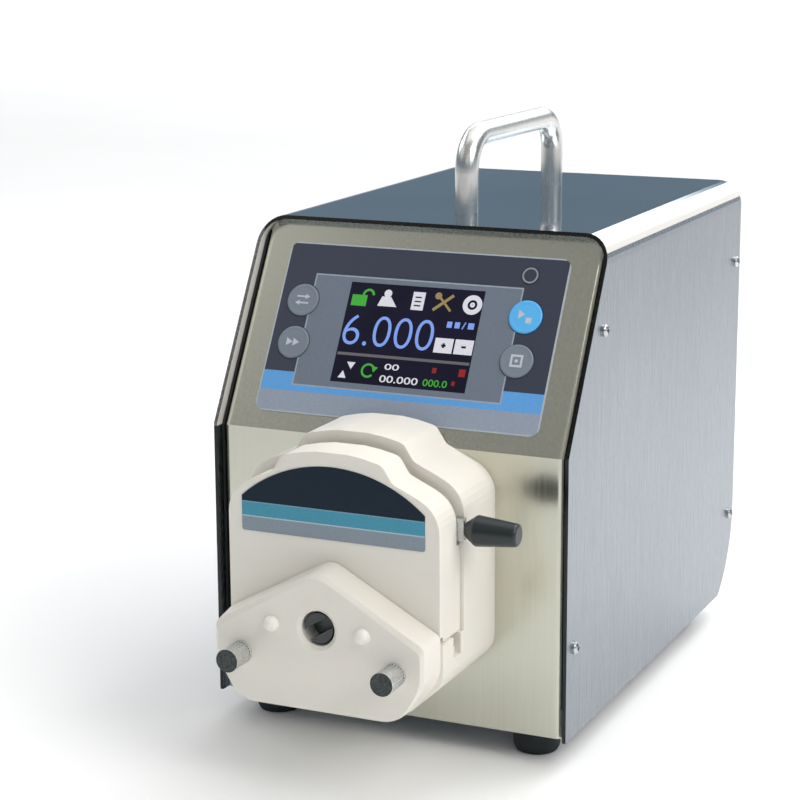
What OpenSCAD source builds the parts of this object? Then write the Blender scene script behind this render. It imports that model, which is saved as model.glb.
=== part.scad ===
// Laboratory peristaltic pump: stainless drive unit with a sloped keypad face
// and an easy-load pump head. Front faces -Y, +X is to the right seen from the
// front, +Z is up. The feet stand on z = 0, and the origin is the middle of the
// whole footprint, pump head included.

/* [Case] */
// Width across the outer side faces
case_w = 156; // [140:1:180]
// Depth from the front edge to the rear edge
case_d = 230; // [215:1:260]
// Height of the case above its feet
case_h = 197; // [185:1:215]
// Height of the knee, where the front starts to slope back, above the case bottom
knee_h = 116; // [110:1:125]
// How far the top edge is set back behind the knee
slope_back = 47; // [38:1:55]
// Thickness of the stainless sheet
sheet = 1.5; // [1:0.1:2]
// Outer radius of the two bends along the roof
roof_bend = 11; // [5:0.5:14]
// Radius of the cut-away at the lower rear corners
corner_r = 48; // [40:1:56]
// Front panel recess behind the cover's front edge
recess = 3; // [2:0.5:5]

/* [Feet and handle] */
// Height of the rubber feet
foot_h = 11; // [8:0.5:15]
// Radius of the rubber feet
foot_r = 9.6; // [8:0.1:12]
// Diameter of the handle bar
handle_d = 10; // [8:0.5:12]
// Distance between the handle's legs
handle_span = 101; // [90:1:110]
// Rise of the bar's centre line above the roof
handle_rise = 32; // [28:1:38]

/* [Keypad] */
// Width of the keypad overlay
overlay_w = 125; // [118:1:130]
// Height of the keypad overlay along the slope
overlay_h = 74.5; // [70:0.5:76]
// Radius of the round keys
key_r = 7; // [6:0.1:7.5]
// Key travel
key_travel = 0.5; // [0.3:0.1:0.5]

/* [Pump head] */
// Height of the rotor axis above the case bottom
rotor_h = 56.4; // [54:0.1:60]
// Half width of the head's rear body
head_hw = 46.3; // [45:0.1:48]
// Half width of the occlusion jaw
jaw_hw = 44.8; // [43:0.1:46]
// Radius of the circle that the roller axes run on
roller_pcr = 19; // [18:0.1:20]
// Radius of each roller
roller_r = 6.5; // [6:0.1:7]
// Gap left between rollers and track with the jaw closed
occlusion = 2.6; // [2:0.1:3.2]
// Lift of the jaw when the lever is thrown over
jaw_lift = 12; // [10:0.5:12]
// Height of the lever axis above the rotor axis
lever_rise = 36.6; // [35:0.1:38]

/* [Hidden] */

$fn = 48;
gap = 0.2;                           // clearance between fitted pieces of one body
z0 = foot_h;                         // case bottom
top = z0 + case_h;                   // roof
knee = z0 + knee_h;                  // knee edge
head_reach = 74.5;                   // how far the head stands out in front of the cover
rear_reach = 4.5;                    // how far the fuse holder stands out behind it
front = (head_reach - case_d - rear_reach) / 2;  // front edge of the cover
rear = front + case_d;               // rear edge of the cover
hw = case_w / 2;
inner_hw = hw - sheet;
slope_h = case_h - knee_h;
slope_ang = atan2(slope_h, slope_back);
slope_len = norm([slope_h, slope_back]);
arc_y = rear - corner_r;             // centre of the cut-away arcs
arc_z = z0 + 40;
panel_y = front + recess;            // face of the lower front panel
panel_hw = 75.2;                     // half width of the front panel
panel_bend = 3;                      // outer radius of the bends down its two sides
flange = 14;                         // depth of the front panel's side flanges
face = -recess;                      // sloped face, measured along its normal
rear_y = rear - sheet;               // outer face of the rear panel

screw_z = [z0 + 37.5, z0 + 160];     // cover screws: lower and upper rows
screw_front_y = [front + 8.5, front + 38.4];
screw_rear_y = rear - 7.7;

feet_x = 59;
foot_front_y = front + 18;
foot_rear_y = rear - 37;
handle_y = front + 134;                       // middle of the handle
handle_bend = 15;
vent_y = front + 115;

overlay_y = 8.5;                     // lower edge of the overlay above the knee
window = [-31.2, 23.5, 59.7, 43.5];  // screen: x, y, width, height on the slope
key_at = [[-51.5, 57.4], [-51.5, 38.7], [47.7, 57.4], [47.7, 38.7]];
rear_x = -38;                        // inlet, switch and fuse column
port_x = 34;                         // signal port and rating plate column
inlet_z = z0 + 81;
switch_z = z0 + 123;
fuse_z = z0 + 154;
lens_at = [46.2, 75];
lens_r = 3.6;

rz = z0 + rotor_h;                   // rotor axis
lz = rz + lever_rise;                // lever axis
y_back = panel_y;                    // head layers, front to back along Y
y_groove = y_back - 31.5;            // front face of the rear body
y_jaw = y_groove - 3.5;              // back of the jaw
y_skirt = y_jaw - 13.2;
y_face = y_jaw - 16.2;               // front face of the jaw
y_plate = y_face - 0.3;              // back of the front plate
y_front = y_plate - 14;              // face of the front plate
track_r = roller_pcr + roller_r + occlusion;
part_z = rz - 4.4;                   // parting line below the jaw's legs
head_bottom = rz - 33.6;
screw_x = 32.6;                      // thumbscrews
screw_dz = -13.3;
cap_x = 19.3;
post_x = 36;
post_dz = 17.3;                      // jaw posts above the rotor axis
post_r = 2.5;
crank_e = jaw_lift / 2;
play = 1.4;                          // slot play that lets the crank lead the jaw
roller_angle = [-90, 30, 150];

steel = "silver";
ivory = "ivory";
black = "#202224";

// ---------- helpers ----------

// Outline through [x, y, radius] corners, each rounded by its own radius
function unit(v) = v / norm(v);
function fillet(a, b, c, r) =
  r <= 0 ? [b] :
  let (u = unit(a - b), w = unit(c - b),
       half = acos(u * w) / 2,
       m = b + unit(u + w) * r / sin(half),
       s = b + u * r / tan(half) - m,
       e = b + w * r / tan(half) - m,
       a0 = atan2(s[1], s[0]),
       raw = atan2(e[1], e[0]) - a0,
       turn = raw > 180 ? raw - 360 : raw < -180 ? raw + 360 : raw,
       n = max(2, ceil(abs(turn) / 12)))
  [for (i = [0 : n]) m + r * [cos(a0 + turn * i / n), sin(a0 + turn * i / n)]];
function rounded(p) =
  let (n = len(p))
  [for (i = [0 : n - 1])
    let (a = p[(i + n - 1) % n], b = p[i], c = p[(i + 1) % n])
    for (q = fillet([a[0], a[1]], [b[0], b[1]], [c[0], c[1]], b[2])) q];
// Left half of an outline mirrored from its right half, walked the other way
function mirrored(p) = concat(p, [for (i = [len(p) - 1 : -1 : 0]) [-p[i][0], p[i][1], p[i][2]]]);

// Extrudes an XZ outline from y = back towards the front by depth
module slab(back, depth) { translate([0, back, 0]) rotate([90, 0, 0]) linear_extrude(depth) children(); }
// Extrudes a YZ outline across X, from -half to +half
module across(half) {
  rotate([90, 0, 90]) translate([0, 0, -half]) linear_extrude(2 * half) children();
}
// Cylinder along -Y from y = back
module rod(r, back, depth) { translate([0, back, 0]) rotate([90, 0, 0]) cylinder(r = r, h = depth); }
// Cylinder along X from x = start
module bar_x(r, start, length) { translate([start, 0, 0]) rotate([0, 90, 0]) cylinder(r = r, h = length); }
// Frame of the sloped face: x across, y up the slope, z outwards
module on_slope() { translate([0, front, knee]) rotate([slope_ang, 0, 0]) children(); }
module rect_r(w, h, r) {
  polygon(rounded([[w / 2, -h / 2, r], [w / 2, h / 2, r], [-w / 2, h / 2, r], [-w / 2, -h / 2, r]]));
}

// Side view of the case, set in by d at the front and e everywhere else
module case_side(d, e) {
  tilt = d / sin(slope_ang);
  lift = d * (1 - sin(slope_ang)) / cos(slope_ang);
  intersection() {
    polygon([[front + d, z0 + e], [front + d, knee - lift], [front + slope_back + tilt, top],
             [rear - e, top], [rear - e, z0 + e]]);
    union() {
      translate([front - 1, 0]) square([arc_y - front + 1, top + 1]);
      translate([front - 1, arc_z]) square([case_d + 2, top]);
      translate([arc_y, arc_z]) circle(r = corner_r - e, $fn = 96);
    }
  }
}

// ---------- casing ----------

module cover_section(e) {
  r = roof_bend - e;
  polygon(rounded([[hw - e, z0 - 1, 0], [hw - e, top - e, r], [-hw + e, top - e, r], [-hw + e, z0 - 1, 0]]));
}

// Places children at the cover screws of both sides, pointing outwards
module at_cover_screws() {
  for (side = [-1, 1]) {
    for (i = [0, 1]) {
      for (y = [screw_front_y[i], screw_rear_y]) {
        translate([side * hw, y, screw_z[i]]) rotate([0, side * 90, 0]) children();
      }
    }
  }
}

module wrap_cover() {
  color(steel) difference() {
    intersection() {
      slab(rear, case_d) cover_section(0);
      across(hw + 1) case_side(0, 0);
    }
    slab(rear + 1, case_d + 2) cover_section(sheet);
    at_cover_screws() translate([0, 0, -3]) cylinder(r = 2.2, h = 4);
    for (s = [-1, 1]) {
      translate([0, handle_y + s * handle_span / 2, top - 4]) cylinder(r = 2.7, h = 5);
    }
  }
}

// Solid behind the panel's face, set in by d, with rounded bends down its two sides
module panel_block(d) {
  w = panel_hw - d;
  r = panel_bend - d;
  intersection() {
    across(w) case_side(recess + d, d > 0 ? -1 : 0.3);
    translate([0, panel_y + d + 150, 0]) linear_extrude(top + 10) rect_r(2 * w, 300, r);
    on_slope() translate([0, 300, face - d - 150]) rotate([90, 0, 0]) linear_extrude(600) {
      rect_r(2 * w, 300, r);
    }
  }
}

module front_panel() {
  color("#a9a99c") difference() {
    intersection() {
      panel_block(0);
      slab(rear, case_d) cover_section(sheet + gap);
    }
    panel_block(sheet);
    across(hw) case_side(recess + flange, -1);
    // The flanges end above the base pan
    translate([-hw, panel_y + sheet, z0 - 1]) cube([case_w, 22, 13.4]);
    on_slope() {
      translate([window[0] + 0.6, window[1] + 0.6, face - 5]) {
        cube([window[2] - 1.2, window[3] - 1.2, 8]);
      }
      for (p = key_at) translate([p[0], p[1], face - 5]) cylinder(r = key_r + 0.3, h = 8);
      translate([lens_at[0], lens_at[1], face - 5]) cylinder(r = lens_r + 0.15, h = 8);
    }
    translate([0, 0, rz]) rod(12, front + 12, 14);
    for (s = [-1, 1]) translate([s * screw_x, 0, rz + screw_dz]) rod(2.6, front + 12, 14);
    at_cover_screws() translate([0, 0, -8]) cylinder(r = 1.6, h = 7);
  }
}

module panel_gasket() {
  color(black) difference() {
    intersection() {
      slab(rear, case_d) cover_section(sheet + gap);
      across(hw) difference() {
        case_side(recess + 0.9, sheet);
        case_side(recess + flange - 2, 0);
      }
    }
    across(panel_hw + 0.1) case_side(0, -9);
    translate([-hw, front, z0 - 1]) cube([case_w, 22, 13.2]);
    at_cover_screws() translate([0, 0, -8]) cylinder(r = 2.4, h = 9);
  }
}

module base_pan() {
  wall = 45;
  color("#8f9396") difference() {
    across(inner_hw - gap) intersection() {
      case_side(recess + sheet + gap, 0);
      translate([front, z0]) square([case_d, wall]);
    }
    across(inner_hw - gap - sheet) case_side(recess + 2 * sheet + gap, sheet);
    translate([-hw, front + 20, z0 + wall - 22]) cube([case_w, case_d - 52, 40]);
    translate([-hw, front, z0 + 12]) cube([case_w, 22, 60]);
    translate([-43, front, z0 + sheet]) cube([86, 22, 60]);
    for (x = [-feet_x, feet_x], y = [foot_front_y, foot_rear_y]) {
      translate([x, y, z0 - 1]) cylinder(r = 2.2, h = 5);
    }
    for (i = [-4 : 4]) translate([i * 9 - 2, vent_y, z0 - 1]) cube([4, 38, 4]);
    at_cover_screws() translate([0, 0, -8]) cylinder(r = 1.6, h = 7);
  }
}

module rear_panel() {
  bottom = z0 + 45 + 0.5;
  color("#b4b7b8") difference() {
    intersection() {
      slab(rear_y, flange) cover_section(sheet + gap);
      translate([-hw, rear_y - flange, bottom]) cube([case_w, flange, case_h]);
    }
    slab(rear_y - sheet, flange) cover_section(2 * sheet + gap);
    translate([rear_x, 0, inlet_z]) slab(rear + 1, 10) square([27.6, 20.2], center = true);
    for (x = [-20, 20]) translate([rear_x + x, 0, inlet_z]) rod(1.7, rear + 1, 10);
    translate([rear_x, 0, switch_z]) slab(rear + 1, 10) square([12.9, 19.4], center = true);
    translate([rear_x, 0, fuse_z]) rod(6.2, rear + 1, 10);
    translate([port_x, 0, inlet_z]) slab(rear + 1, 10) square([24.6, 10.2], center = true);
    for (i = [0 : 5], x = [6, 36]) {
      translate([x, rear - 6, z0 + 139 + i * 7]) cube([24, 10, 3]);
    }
    at_cover_screws() translate([0, 0, -8]) cylinder(r = 1.6, h = 7);
  }
}

// Pan-head screw: washer face at z = 0, head outwards
module pan_screw(r, head_r, head_h, length) {
  difference() {
    union() {
      translate([0, 0, -length]) cylinder(r = r, h = length);
      cylinder(r = head_r, h = head_h * 0.55);
      translate([0, 0, head_h * 0.55]) intersection() {
        scale(head_r / 4) translate([0, 0, -3.2]) sphere(r = 5.12);
        cylinder(r = head_r, h = head_h * 0.6);
      }
    }
    for (a = [0, 90]) {
      rotate(a) translate([-head_r * 0.55, -0.4, head_h * 0.45]) cube([head_r * 1.1, 0.8, head_h]);
    }
  }
}

module case_screws() {
  color(steel) {
    at_cover_screws() pan_screw(1.5, 2.6, 1.7, 7.6);
    for (x = [-20, 20]) {
      translate([rear_x + x, rear_y + 3, inlet_z]) rotate([-90, 0, 0]) pan_screw(1.5, 2.6, 1.7, 6);
    }
  }
}

module foot(x, y) {
  color(black) translate([x, y, 0]) difference() {
    rotate_extrude($fn = 64) polygon(rounded([[0, 0, 0], [foot_r - 1.2, 0, 1.2], [foot_r, 2.5, 3],
                                    [foot_r, foot_h, 0], [0, foot_h, 0]]));
    translate([0, 0, -1]) cylinder(r = 4.4, h = 6);
    cylinder(r = 2.2, h = foot_h + 1);
  }
}

module foot_front_left() { foot(-feet_x, foot_front_y); }
module foot_front_right() { foot(feet_x, foot_front_y); }
module foot_rear_left() { foot(-feet_x, foot_rear_y); }
module foot_rear_right() { foot(feet_x, foot_rear_y); }

module foot_screws() {
  color(steel) for (x = [-feet_x, feet_x], y = [foot_front_y, foot_rear_y]) {
    translate([x, y, 2.2]) {
      translate([0, 0, 2.8]) cylinder(r = 1.9, h = foot_h + 3);
      difference() {
        cylinder(r = 3.9, h = 2.8);
        translate([0, 0, -1]) cylinder(r = 1.6, h = 2.4, $fn = 6);
      }
    }
  }
}

module carry_handle() {
  half = handle_span / 2;
  run = half - handle_bend;
  leg = handle_rise - handle_bend;
  r = handle_d / 2;
  color("#d8d8d8") translate([0, handle_y, top]) difference() {
    union() {
      translate([0, run, handle_rise]) rotate([90, 0, 0]) cylinder(r = r, h = 2 * run);
      for (s = [0, 180]) rotate(s) {
        translate([0, half, 0]) cylinder(r = r, h = leg);
        translate([0, run, leg]) rotate([90, 0, 90]) rotate_extrude(angle = 90, $fn = 96)
          translate([handle_bend, 0]) circle(r = r);
      }
    }
    for (s = [-1, 1]) translate([0, s * half, -1]) cylinder(r = 2.1, h = 13);
  }
}

module handle_screws() {
  color(steel) for (s = [-1, 1]) translate([0, handle_y + s * handle_span / 2, top - sheet]) {
    translate([0, 0, -3]) cylinder(r = 4, h = 3, $fn = 6);
    cylinder(r = 2, h = 10);
  }
}

// ---------- keypad and display ----------

board_w = 122;
board_h = 68;
board_mid = 46;
board_top = -7.6;                    // component side, below the sloped face
post_at = [[-57, 16], [57, 16], [-57, 76], [57, 76]];

module keypad_overlay() {
  color("#3a4050") on_slope() translate([0, 0, face]) difference() {
    translate([0, overlay_y + overlay_h / 2]) linear_extrude(0.5) rect_r(overlay_w, overlay_h, 4);
    translate([window[0], window[1], -1]) cube([window[2], window[3], 3]);
    for (p = key_at) translate([p[0], p[1], -1]) cylinder(r = key_r + 0.3, h = 3);
    translate([lens_at[0], lens_at[1], -1]) cylinder(r = lens_r + 0.15, h = 3);
  }
}

module screen_glass() {
  color("#101418") on_slope() translate([window[0] + 0.1, window[1] + 0.1, face]) {
    cube([window[2] - 0.2, window[3] - 0.2, 0.4]);
  }
}

module lcd_module() {
  color("#303436") on_slope() difference() {
    translate([window[0] - 5, window[1] - 5, face + board_top]) {
      cube([window[2] + 10, window[3] + 10, -board_top - sheet - gap]);
    }
    translate([window[0] + 2, window[1] + 2, face - sheet - gap - 1]) {
      cube([window[2] - 4, window[3] - 4, 2]);
    }
  }
}

module key(i) {
  neck = 3.4;
  color("#9aa4ae") on_slope() translate([key_at[i][0], key_at[i][1], face]) {
    translate([0, 0, -sheet - 0.8]) cylinder(r = key_r, h = sheet + 0.8 + 0.9);
    translate([0, 0, -sheet - 0.9]) cylinder(r = key_r + 1.2, h = 0.8);
    translate([0, 0, -neck]) cylinder(r = 2.4, h = neck - 2);
  }
}
module key_direction() { key(0); }
module key_prime() { key(1); }
module key_start() { key(2); }
module key_menu() { key(3); }

module status_lens() {
  color("#cfd6dc") on_slope() translate([lens_at[0], lens_at[1], face]) {
    translate([0, 0, -sheet - 0.8]) cylinder(r = lens_r, h = sheet + 0.8 + 0.7);
    translate([0, 0, -sheet - 0.8]) cylinder(r = lens_r + 1, h = 0.8);
  }
}

module keypad_board() {
  color("#1f5c3a") on_slope() translate([0, 0, face + board_top]) difference() {
    union() {
      translate([-board_w / 2, board_mid - board_h / 2, -1.6]) cube([board_w, board_h, 1.6]);
      for (p = key_at) translate([p[0] - 3, p[1] - 3, 0]) cube([6, 6, -board_top - 3.4 - key_travel - 0.1]);
      translate([lens_at[0] - 1.5, lens_at[1] - 1.5, 0]) cube([3, 3, 1.2]);
      translate([-20, 14, -9.6]) cube([40, 6, 8]);
    }
    for (p = post_at) translate([p[0], p[1], -5]) cylinder(r = 1.6, h = 8);
  }
}

module board_posts() {
  depth = -board_top - sheet;
  color(steel) on_slope() for (p = post_at) translate([p[0], p[1], face]) {
    translate([0, 0, board_top]) cylinder(r = 3, h = depth, $fn = 6);
    translate([0, 0, board_top - 2.2]) cylinder(r = 1.4, h = 2.3);
    translate([0, 0, board_top - 3.4]) cylinder(r = 2.7, h = 1.8);
  }
}

// ---------- pump head ----------

// Right half of the stepped arch: half width w, arch set down by d, shoulder radius r
function arch_right(w, bottom, d, r = 14) = concat(
  [[w, bottom, 0], [w, rz + 50.6 - d, r], [36, rz + 55.6 - d, r],
   [25.4, rz + 60.4 - d, 4], [21.2, rz + 67 - d, 4]],
  [for (a = [15 : -5 : 5]) [73 * sin(a), rz + 70.2 - d - 73 * (1 - cos(a)), 0]]);

module arch(inset) {
  w = head_hw - inset;
  shape = arch_right(w, 0, inset, 14 - inset);
  polygon(rounded(mirrored(concat([[32, head_bottom + inset, 6], [w, head_bottom + 13, 12]],
                                  [for (i = [1 : len(shape) - 1]) shape[i]]))));
}

module base_outline() {
  polygon(rounded(mirrored([[32, head_bottom, 6], [head_hw, head_bottom + 13, 12],
                            [head_hw, part_z, 0]])));
}

module head_body() {
  cavity_y = y_groove + 3.3;
  deep = y_back - 2 - cavity_y;        // opens into the recess of the back plate
  lift_top = rz + post_dz + 4.8 + jaw_lift + 0.4;
  color(ivory) difference() {
    union() {
      slab(y_back, y_back - y_groove) arch(0);
      slab(y_groove, y_groove - y_plate) base_outline();
    }
    // Recess for the back plate
    slab(y_back + 1, 4) arch(3);
    // Room for the yoke plate and the crank
    translate([0, 0, rz]) slab(cavity_y + deep, deep) {
      translate([-42, 12.2]) square([84, lift_top - rz - 12.2]);
      translate([-15, 12.2]) square([30, lever_rise + jaw_lift - 6]);
    }
    for (s = [-1, 1]) {
      translate([s * post_x - post_r - 0.4, y_groove - 1, rz + post_dz - post_r - 0.4]) {
        cube([2 * post_r + 0.8, 6, jaw_lift + 2 * post_r + 0.8]);
      }
    }
    // Lever shaft bore, shaft bore, bearing seat and room for the drive dog
    translate([0, 0, lz]) rod(4.05, y_back, 40);
    translate([0, 0, rz]) {
      rod(5, y_back, 40);
      rod(11.02, y_groove + 7, 10);
      rod(10, y_back + 1, 20);
    }
    // Rotor chamber and tube channels
    translate([0, 0, rz]) slab(y_groove, 30) {
      circle(r = 28, $fn = 96);
      polygon([[-28, -5], [28, -5], [34.7, 5], [-34.7, 5]]);
    }
    translate([-60, y_jaw - 6.5, part_z - 5.8]) cube([120, 7, 10]);
    for (s = [-1, 1]) {
      translate([s * (head_hw + 1) - 3.5, y_jaw - 6.5, part_z - 8.2]) cube([7, 7, 10]);
      translate([s * screw_x, 0, rz + screw_dz]) rod(2.2, y_back + 1, 60);
    }
  }
}

module head_back_plate() {
  color("#b9bcbd") difference() {
    slab(y_back, 2.9) arch(3.2);
    translate([0, 0, rz]) rod(10, y_back + 1, 5);
    for (s = [-1, 1]) translate([s * screw_x, 0, rz + screw_dz]) rod(2.2, y_back + 1, 60);
  }
}

// Five-sided front plate with a rounded peak
function chevron_points(inset) =
  let (w = 45.3 - inset, s = rz - 0.8 - 1.4 * inset, p = rz + 24.2 - 1.2 * inset)
  concat([[34, head_bottom + 0.8, 12], [w, head_bottom + 16, 16], [w, s, 4]], [[0, p, 9]],
         [[-w, s, 4], [-w, head_bottom + 16, 16], [-34, head_bottom + 0.8, 12]]);

module head_front_plate() {
  color(ivory) difference() {
    hull() {
      slab(y_plate, 1) polygon(rounded(chevron_points(0)));
      slab(y_front + 2.2, 1) polygon(rounded(chevron_points(1)));
      slab(y_front + 0.4, 0.4) polygon(rounded(chevron_points(2.4)));
    }
    translate([0, 0, rz]) {
      rod(7, y_plate + 1, 20);
      rod(10.52, y_plate + 1, 6);
      translate([0, y_front + 1.4, 0]) rotate([90, 0, 0]) cylinder(r1 = 6.9, r2 = 8.6, h = 1.5);
    }
    for (s = [-1, 1]) {
      translate([s * screw_x, 0, rz + screw_dz]) rod(2.2, y_plate + 1, 20);
      translate([s * cap_x, 0, rz]) rod(2.05, y_front + 5, 6);
    }
  }
}

module plate_caps() {
  color("white") for (s = [-1, 1]) translate([s * cap_x, y_front, rz]) rotate([90, 0, 0]) {
    translate([0, 0, -4.5]) cylinder(r = 2, h = 4.6);
    intersection() {
      sphere(r = 3.2);
      cylinder(r = 4, h = 4);
    }
  }
}

module head_thumbscrews() {
  color(steel) for (s = [-1, 1]) translate([s * screw_x, 0, rz + screw_dz]) difference() {
    union() {
      rod(2, y_back + 5.5, y_back + 5.5 - y_front);
      rod(4.6, y_front, 12);
    }
    for (a = [0 : 15 : 345]) rotate([0, a, 0]) translate([-0.25, y_front - 11.5, 4.3]) cube([0.5, 10, 1]);
  }
}

module jaw_outline(bottom) {
  polygon(rounded(mirrored(arch_right(jaw_hw, bottom, 4.1))));
}

module occlusion_jaw() {
  color(ivory) difference() {
    union() {
      slab(y_jaw, y_jaw - y_skirt) difference() {
        jaw_outline(part_z + 0.3);
        translate([0, rz]) {
          circle(r = track_r, $fn = 128);
          polygon([[-track_r * sin(60), track_r * cos(60)], [track_r * sin(60), track_r * cos(60)],
                   [34.7, -5], [-34.7, -5]]);
        }
      }
      slab(y_skirt, y_skirt - y_face) difference() {
        jaw_outline(part_z + 0.3);
        polygon([[-60, part_z - 20], [60, part_z - 20], [60, rz - 10.5], [0, rz + 22.2], [-60, rz - 10.5]]);
      }
      // Lips that close the lever's gap below the lever, low enough on the left to pass under it
      slab(y_groove - 0.3, y_groove - 0.3 - y_jaw + 0.1) {
        translate([jaw_hw - 4, part_z + 0.3]) square([4, lz - 6.5 - part_z - 0.3]);
        translate([-jaw_hw, part_z + 0.3]) square([4, lz - jaw_lift - 6.5 - part_z - 0.3]);
      }
    }
    for (s = [-1, 1]) translate([s * post_x, 0, rz + post_dz]) rod(post_r + 0.02, y_jaw + 1, 9);
    // Shallow bed for the label
    slab(y_face + 0.15, 1) label_outline(0.15);
  }
}

module label_outline(grow) {
  w = 38.8 + grow;
  low = rz + 31.5 - grow;
  r = 58.1 + grow;
  intersection() {
    polygon(rounded([[w, low, 0.8], [w, rz + 56, 9], [0, rz + 90, 0], [-w, rz + 56, 9], [-w, low, 0.8]]));
    translate([0, rz + 60.2 - 58.1]) circle(r = r, $fn = 128);
  }
}

module jaw_label() { color("#14202c") slab(y_face + 0.15, 0.45) label_outline(0); }

module jaw_posts() {
  color(steel) for (s = [-1, 1]) translate([s * post_x, 0, rz + post_dz]) {
    rod(post_r, y_groove + 9, y_groove + 9 - y_jaw + 7.8);
  }
}

module yoke_plate() {
  slot_h = 5 + 2 * play;
  color("#9da1a4") difference() {
    slab(y_groove + 9, 4) translate([0, rz]) {
      translate([-41, post_dz - 4.8]) square([82, 9.6]);
      translate([-14, post_dz - 4.8]) square([28, lever_rise - post_dz + 10.3]);
    }
    for (s = [-1, 1]) translate([s * post_x, 0, rz + post_dz]) rod(post_r + 0.02, y_groove + 10, 6);
    translate([0, 0, lz - crank_e]) slab(y_groove + 10, 6) {
      square([2 * crank_e + 6.4, slot_h], center = true);
    }
  }
}

module lever_crank() {
  color(steel) translate([0, 0, lz]) {
    rod(4, y_groove + 4, 7.1);
    rod(9, y_groove + 4.6, 1);
    translate([0, 0, -crank_e]) rod(2.5, y_groove + 9.5, 5.2);
  }
}

module lever_arm() {
  color("#8b8f92") difference() {
    union() {
      slab(y_groove - 0.3, 2.9) {
        translate([0, lz]) circle(r = 8);
        translate([0, lz - 4.3]) square([47.5, 8.6]);
      }
      translate([0, y_groove - 1.75, lz]) bar_x(1.4, 47, 16);
    }
    translate([0, 0, lz]) rod(4.02, y_groove + 1, 6);
  }
}

module lever_knob() {
  color(black) translate([48, y_groove - 1.75, lz]) rotate([0, 90, 0]) difference() {
    rotate_extrude() polygon(rounded([[0, 0, 0], [2.8, 0, 0.5], [6.1, 4.6, 1.5],
                                      [4.4, 21.6, 1.4], [0, 21.6, 0]]));
    translate([0, 0, -1]) cylinder(r = 1.42, h = 16.4);
  }
}

// Layers of the rotor along Y
disc_back = y_groove - 0.7;
rollers_back = disc_back - 2.3;
roller_len = 11;
disc_front = rollers_back - roller_len - 0.3;
disc_r = roller_pcr + roller_r - 2;

module rotor_carrier() {
  color("#c9ccce") translate([0, 0, rz]) difference() {
    union() {
      rod(disc_r, disc_back, 2);
      rod(9, disc_back - 1, disc_back - disc_front - 0.5);
      rod(disc_r, disc_front, 2);
    }
    rod(6.02, disc_back + 1, 30);
    for (a = roller_angle) rotate([0, -a, 0]) translate([roller_pcr, 0, 0]) rod(2.02, disc_back + 1, 30);
  }
}

module roller_pins() {
  color(steel) translate([0, 0, rz]) for (a = roller_angle) {
    rotate([0, -a, 0]) translate([roller_pcr, 0, 0]) rod(2, disc_back - 0.1, disc_back - disc_front + 1.8);
  }
}

module roller(i) {
  color("white") translate([0, 0, rz]) rotate([0, -roller_angle[i], 0]) translate([roller_pcr, 0, 0]) {
    difference() {
      rod(roller_r, rollers_back, roller_len);
      rod(2.05, rollers_back + 1, roller_len + 2);
    }
  }
}
module roller_1() { roller(0); }
module roller_2() { roller(1); }
module roller_3() { roller(2); }

module rotor_shaft() {
  end = y_front + 2;
  color("#55585a") translate([0, 0, rz]) difference() {
    union() {
      rod(6, disc_back + 0.6, disc_back + 0.6 - end);
      rod(4, y_back - 6.8, y_back - 6.8 - disc_back);
      translate([-3.6, y_back - 7, -1.4]) cube([7.2, 6, 2.8]);
    }
    rotate([0, -32, 0]) translate([-8, end - 1, -2.3]) cube([16, 8, 4.6]);
  }
}

module head_bearings() {
  color("#c5c8ca") translate([0, 0, rz]) {
    difference() {
      rod(11, y_groove + 7, 6.9);
      rod(4.03, y_groove + 8, 9);
    }
    difference() {
      rod(10.5, y_plate, 4.9);
      rod(6.03, y_plate + 1, 8);
    }
  }
}

module drive_dog() {
  color("#6a6e70") translate([0, 0, rz]) difference() {
    rod(8, y_back + 6.6, 13);
    translate([-9, y_back - 8, -1.6]) cube([18, 7.8, 3.2]);
    rod(3.2, y_back + 8, 8.6);
  }
}

// ---------- drive ----------

motor_w = 56.4;
motor_y = y_back + 8;                // front face of the motor
motor_len = 56;

module motor_bracket() {
  color("#8f9396") difference() {
    union() {
      translate([-42, y_back + 2, z0 + sheet]) cube([84, 6, 92]);
      translate([-42, y_back + 7, z0 + sheet]) cube([84, 22, 4]);
    }
    translate([0, 0, rz]) rod(9.5, y_back + 9, 12);
    for (s = [-1, 1]) translate([s * screw_x, 0, rz + screw_dz]) rod(2.05, y_back + 9, 12);
    for (x = [-1, 1], z = [-1, 1]) translate([x * 23.57, 0, rz + z * 23.57]) rod(2.25, y_back + 9, 12);
  }
}

module motor_square(back, depth) {
  translate([0, 0, rz]) slab(back, depth) rect_r(motor_w, motor_w, 4);
}

module motor_front_cap() {
  color("#b4b7b8") difference() {
    motor_square(motor_y + 9, 9);
    translate([0, 0, rz]) {
      rod(8.02, motor_y + 10, 7);
      rod(4, motor_y + 10, 12);
    }
    for (x = [-1, 1], z = [-1, 1]) translate([x * 23.57, 0, rz + z * 23.57]) rod(2.6, motor_y + 10, 12);
  }
}

module motor_stator() {
  color(black) difference() {
    motor_square(motor_y + 9 + motor_len - 18, motor_len - 18);
    translate([0, 0, rz]) rod(14.4, motor_y + motor_len, motor_len);
    for (x = [-1, 1], z = [-1, 1]) translate([x * 23.57, 0, rz + z * 23.57]) rod(2.6, motor_y + 60, 60);
  }
}

module motor_rear_cap() {
  color("#b4b7b8") difference() {
    motor_square(motor_y + motor_len, 9);
    translate([0, 0, rz]) rod(8.02, motor_y + motor_len - 2, 8);
    for (x = [-1, 1], z = [-1, 1]) {
      translate([x * 23.57, 0, rz + z * 23.57]) rod(2.6, motor_y + motor_len + 1, 12);
    }
  }
}

module motor_rotor() {
  color("#5a5e60") translate([0, 0, rz]) {
    rod(14, motor_y + motor_len - 12, motor_len - 24);
    rod(3.175, motor_y + motor_len - 3, motor_len - 3 - (y_back - 0.5 - motor_y));
  }
}

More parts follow.
